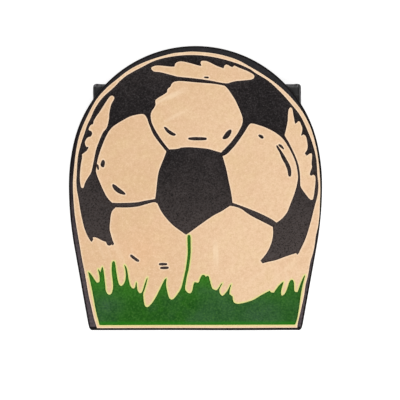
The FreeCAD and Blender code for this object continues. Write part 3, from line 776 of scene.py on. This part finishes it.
def tooled_picture():
    """The loops that the front's mesh follows, and how its leather is dyed and raised."""
    edge_loop = widened(border, -dye_creep)
    ball_loop = widened(ball, dye_creep)
    panel_loops = [widened(panel, -dye_creep) for panel in panels]
    grass_loop = widened(grass, dye_creep)
    mark_loops = [widened(mark, dye_creep) for mark in marks]
    loops = [edge_loop, ball_loop, *panel_loops, grass_loop, *mark_loops]
    rows = []
    for loop in loops:
        rows += [loop - sideways(loop) * rim_row, loop + sideways(loop) * rim_row]
    rows = np.concatenate(rows)
    rows = rows[nearest(loops, rows) > rim_row * 0.8]
    rim_inset = cover_profile[0][0]
    rows = rows[inside(rows, closed_loop(*edge_of(rim_inset, 1.0)))]
    rows = rows[nearest([closed_loop(*edge_of(rim_inset, 0.3), 200)], rows) > 0.15]
    spine_run = float(run_of(fold_y + 0.02))

    def kinds_at(points):
        kinds = np.full(len(points), BAND)
        kinds[inside(points, edge_loop)] = NATURAL
        dark = inside(points, ball_loop)
        for each in panel_loops:
            dark &= ~inside(points, each)
        for each in mark_loops:
            dark |= inside(points, each)
        kinds[dark] = BLACK
        kinds[inside(points, grass_loop)] = GREEN
        kinds[points[:, 1] < spine_run] = COWHIDE
        return kinds

    def height(place):
        away = nearest(loops, place)
        kinds = kinds_at(place)
        depth = np.array([band_depth, 0.0, dye_depth, dye_depth, band_depth])[kinds]
        swell = pillow * (1 - np.exp(-away / pillow_reach)) * (kinds == NATURAL)
        beaten = depth * smooth_step(away / cut_slope) + cut_depth * (away < 0.02)
        return swell - beaten + sheet_waves(place, 0.025)

    return {"loops": loops, "rows": rows, "height": height, "kinds": kinds_at, "grass": grass_loop}


def creased_border():
    """A line pressed into the plain back, all round inside its edge."""

    def ring(inset):
        loop = np.stack(edge_of(inset, 0.8), -1)
        return loop[loop[:, 1] > inset - crease_inset + 1.0]

    loops = [ring(crease_inset + side) for side in (-crease_width, 0.0, crease_width)]
    steps = np.linspace(0, 1, 4)[:-1, None, None]
    groove_line = (loops[1] + steps * (np.roll(loops[1], -1, 0) - loops[1])).reshape(-1, 2)

    def height(place):
        groove = np.exp(-(nearest([groove_line], place) / (crease_width * 0.7)) ** 2)
        return sheet_waves(place, 0.03) - crease_depth * groove

    return {"loops": loops, "rows": np.empty((0, 2)), "height": height,
            "kinds": lambda middles: [0] * len(middles)}


def note_rims(made, art):
    """Marks the front's points with their nearness to a cut line, the grass and the edge."""
    co = np.empty(len(made.data.vertices) * 3)
    made.data.vertices.foreach_get("co", co)
    co = co.reshape(-1, 3) / MM
    place = np.stack([co[:, 0], run_of(co[:, 1])], -1)
    top = co[:, 2] > cover_low.z + 0.8
    gap = np.array([min(edge_distance(x, y)[0], y - fold_y) for x, y, _ in co])
    shading = {"edge": np.clip(1 - gap / edge_reach, 0, 1)}
    for name, loops, reach in (("rim", art["loops"], 0.22), ("grass", [art["grass"]], 0.34)):
        shading[name] = np.where(top, np.exp(-(nearest(loops, place) / reach) ** 2), 0.0)
    for name, values in shading.items():
        layer = made.data.attributes.new(name, "FLOAT", "POINT")
        layer.data.foreach_set("value", values.astype(np.float32))


def bind(made, front, replaced):
    """Bakes a sheet's transform into its mesh and hides the CAD parts that it stands in for."""
    if front:
        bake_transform(made)
    else:
        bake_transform(made)
    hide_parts(*replaced)


def make_cover(leathers):
    """The tooled front and the plain back, each with its half of the spine."""
    art = tooled_picture()
    front = leather_lobe("cover_front_tooled", cover_profile, 0.5, True, leathers, grid_spacing, art)
    note_rims(front, art)
    bind(front, True, ("cover_front", "cover_spine"))
    back = leather_lobe("cover_back_plain", cover_profile, 0.9, False, leathers[COWHIDE:], 1.6,
                        creased_border())
    bind(back, False, ("cover_back",))


def make_lining(cloth):
    """The suede lining of each half, which meets the other in the middle of the spine."""
    for half, front, replaced in (("front", True, ("lining_front", "lining_spine")),
                                  ("back", False, ("lining_back",))):
        made = leather_lobe(f"lining_{half}_suede", lining_profile, 1.2, front, [cloth] * 3, 3.0)
        bind(made, front, replaced)


# ---- Bag ----
roll_radius = 0.85             # outside of the roll where a wall turns into its gusset
ear_radius = 1.3               # the bag's rounded top corners
hem_y = wall_high.y + 0.35     # the hem's rounded edge stands a little above the wall's end
hem_depth = 3.4                # how far the bag's hem is turned in
hem_round = 0.5
ledge_y = hem_y - hem_depth
ear_y = hem_y - ear_radius
bead_drop = 0.55               # the hem's fullest line, below its edge
bead_width = 0.45
strip_radius = 1.2             # outside of the bend from a wall to the bottom strip
leaf_sheet = 0.66              # a gusset leaf's thickness at its tip
leaf_bottom = 3.2              # a leaf's depth at the bottom
leaf_reach = 1.45              # how much deeper than the CAD's leaf it is at the mouth
leaf_gap = 0.20                # from a leaf's tip to the middle, where the other leaf ends
leaf_lift = 0.2                # a leaf's bottom end above the bottom strip
roll_steps = 11
leaf_steps = 24


def corner_cut(y):
    """How far the bag's rounded top corner lies inside its side at this y."""
    over = np.clip(y - ear_y, 0, ear_radius)
    return ear_radius - np.sqrt(np.maximum(ear_radius**2 - over**2, 0))


def shell(rows, half):
    """A closed sheet of leather around a grid of middle points, this thick to each side."""
    normal = np.cross(np.gradient(rows, axis=1), np.gradient(rows, axis=0))
    normal /= np.maximum(np.linalg.norm(normal, axis=2), 1e-9)[..., None]
    count = rows.shape[0] * rows.shape[1]
    points = [(rows + side * normal * half[..., None]).reshape(-1, 3) for side in (1, -1)]
    top = np.arange(count).reshape(rows.shape[:2])
    low = top + count
    faces = [(top[:-1, :-1], top[:-1, 1:], top[1:, 1:], top[1:, :-1]),
             (low[:-1, :-1], low[1:, :-1], low[1:, 1:], low[:-1, 1:]),
             (top[:-1, 0], top[1:, 0], low[1:, 0], low[:-1, 0]),
             (low[:-1, -1], low[1:, -1], top[1:, -1], top[:-1, -1]),
             (low[0, :-1], low[0, 1:], top[0, 1:], top[0, :-1]),
             (top[-1, :-1], top[-1, 1:], low[-1, 1:], low[-1, :-1])]
    return np.concatenate(points), np.concatenate([np.stack(f, -1).reshape(-1, 4) for f in faces])


def hem(y):
    """How the bag's leather thickens to a turned hem near the mouth and rounds off there."""
    into = np.clip(1 - (hem_y - y) / hem_round, 0, 0.985)
    bead = np.exp(-((y - hem_y + bead_drop) / bead_width) ** 2)
    ledge = np.clip((y - ledge_y) / 0.15, 0, 1)
    return np.sqrt(1 - into**2) * (0.92 + 0.08 * ledge + 0.22 * bead)


def bag_rows(low):
    """The y of each row of points, close together at the hem and the rounded corners."""
    below, above = ledge_y - 0.3, ledge_y + 0.3
    return np.concatenate([np.linspace(low, below, 36)[:-1], np.linspace(below, above, 7)[:-1],
                           np.linspace(above, ear_y, 7)[:-1],
                           ear_y + ear_radius * np.sin(np.linspace(0, math.pi / 2, 16))])


def make_wall(half, front, replaced, leather):
    """A bag wall with its half of the bottom strip: a soft sheet, fuller in the middle."""
    wall_bend = strip_low.y + strip_radius
    face = wall_high.z
    strip = -np.linspace(face - strip_radius - middle_z + strip_radius * math.pi / 2, 0.01, 16)
    runs = np.concatenate([strip, bag_rows(wall_bend) - wall_bend])
    across = np.concatenate([np.linspace(-1, -0.9, 6)[:-1], np.linspace(-0.9, 0.9, 41)[:-1],
                             np.linspace(0.9, 1, 6)])
    ys = wall_bend + np.maximum(runs, 0)
    rows = []
    for run, y in zip(runs, ys):
        x = bag_middle + across * ((bag_right - bag_left) / 2 - roll_radius - corner_cut(y))
        sag = 0.10 * np.sin(x / 6.1 + y / 9.0) * (1 - across**2)
        rows.append(on_sheet(x, run, wall_thickness / 2 + sag, front, strip_radius, wall_bend, face))
    thick = hem(ys)[:, None] * np.full(len(across), wall_thickness)
    points, faces = shell(np.array(rows), thick / 2)
    made = make_object(f"bag_{half}_sheet", points, faces if front else faces[:, ::-1], [leather])
    bind(made, front, replaced)


def make_gusset(half, side, leather):
    """One leaf of a gusset with the roll that joins it to its wall, drawn across in x, z."""
    which = f"{half}_{side}"
    front = half == "front"
    right = side == "right"
    leaf_box = box_of(f"gusset_leaf_{which}")
    mouth_depth = leaf_box[1].x - leaf_box[0].x + leaf_reach
    wall_z = wall_high.z - wall_thickness / 2
    turn = roll_radius - wall_thickness / 2
    leaf_z = wall_z - 2 * turn
    bend = np.linspace(math.pi / 2, -math.pi / 2, roll_steps)
    along = np.linspace(0, 1, leaf_steps + 1)[1:]
    drop = (leaf_z - middle_z - leaf_gap) * (0.35 * along + 0.65 * along**6)
    ys = bag_rows(strip_high.y + leaf_lift)
    rows = []
    for y in ys:
        cut = corner_cut(y)
        depth = leaf_bottom + (mouth_depth - leaf_bottom) * (y - ys[0]) / (hem_y - ys[0]) - cut
        inner = bag_right - bag_middle - cut - roll_radius
        ripple = 0.06 * np.sin(y / 3.7 + along * 5) * along * (1 - along)
        x = np.concatenate([inner + turn * np.cos(bend), inner - (depth - roll_radius) * along])
        z = np.concatenate([wall_z - turn + turn * np.sin(bend), leaf_z - drop + ripple])
        rows.append(np.stack([bag_middle + (x if right else -x), np.full(len(x), y),
                              z if front else thickness - z], -1))
    thick = np.concatenate([np.full(roll_steps, wall_thickness),
                            np.linspace(wall_thickness, leaf_sheet, leaf_steps)])
    points, faces = shell(np.array(rows), hem(ys)[:, None] * thick / 2)
    faces = faces if right == front else faces[:, ::-1]
    made = make_object(f"gusset_{which}", points, faces, [leather])
    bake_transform(made)
    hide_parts(f"gusset_leaf_{which}", f"side_fold_{which}")


# ---- Staging ----
def make_stage():
    """A pale floor, soft light from all round and a window-like light to the lower right."""
    mesh = bpy.data.meshes.new("floor")
    mesh.from_pydata([(-3, -3, 0), (3, -3, 0), (3, 3, 0), (-3, 3, 0)], [], [(0, 1, 2, 3)])  # metres
    pale = Finish("pale_floor", 0.1, Roughness=0.8, Emission_Strength=0.7,
                  Emission_Color=(1, 1, 1, 1), Base_Color=(0.6, 0.6, 0.6, 1))
    mesh.materials.append(pale.material)
    placed("floor", mesh)

    world = bpy.data.worlds.new("studio")
    world.use_nodes = True
    sky = world.node_tree.nodes["Background"]
    sky.inputs["Color"].default_value = (1, 1, 1, 1)
    sky.inputs["Strength"].default_value = 0.72
    scene.world = world

    def lamp(name, place, size, power):
        light = bpy.data.lights.new(name, "AREA")
        light.shape = "SQUARE"
        light.size = size
        light.energy = power
        made = placed(name, light)
        made.location = place
        made.rotation_euler = (-Vector(place)).to_track_quat("-Z", "Y").to_euler()

    lamp("key_light", (0.15, -0.50, 1.05), 0.4, 6.0)
    lamp("fill_light", (-0.8, 0.55, 0.9), 0.7, 1.5)

    data = bpy.data.cameras.new("camera")
    data.sensor_width = 36
    data.lens = 200
    data.clip_start = 0.01
    frame_width = 126.25       # millimetres across the frame at the front lobe
    height = thickness + frame_width * data.lens / data.sensor_width
    scene.camera = placed("camera", data)
    scene.camera.location = Vector((1.42, -3.66, height)) * MM
    scene.view_settings.view_transform = "Standard"
    scene.view_settings.look = "None"


def paint_node(name, material):
    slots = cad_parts[name].data.materials
    slots.clear()
    slots.append(material)


cover_leathers = [band_dye(), natural_leather(), black_dye(), green_dye(), black_cowhide(), edge_paint(),
                  suede()]
bag_finish = bag_leather()
thread = waxed_thread()
metal = nickel()
make_cover(cover_leathers)
make_lining(cover_leathers[-1])
make_wall("front", True, ("bag_front_wall", "bag_bottom"), bag_finish)
make_wall("back", False, ("bag_back_wall",), bag_finish)
for half in ("front", "back"):
    for side in ("right", "left"):
        make_gusset(half, side, bag_finish)
    paint_node(f"hem_stitches_{half}", thread)
for part in ("snap_stud", "snap_rivet", "snap_socket", "snap_cap", "snap_spring"):
    paint_node(part, metal)
make_stage()
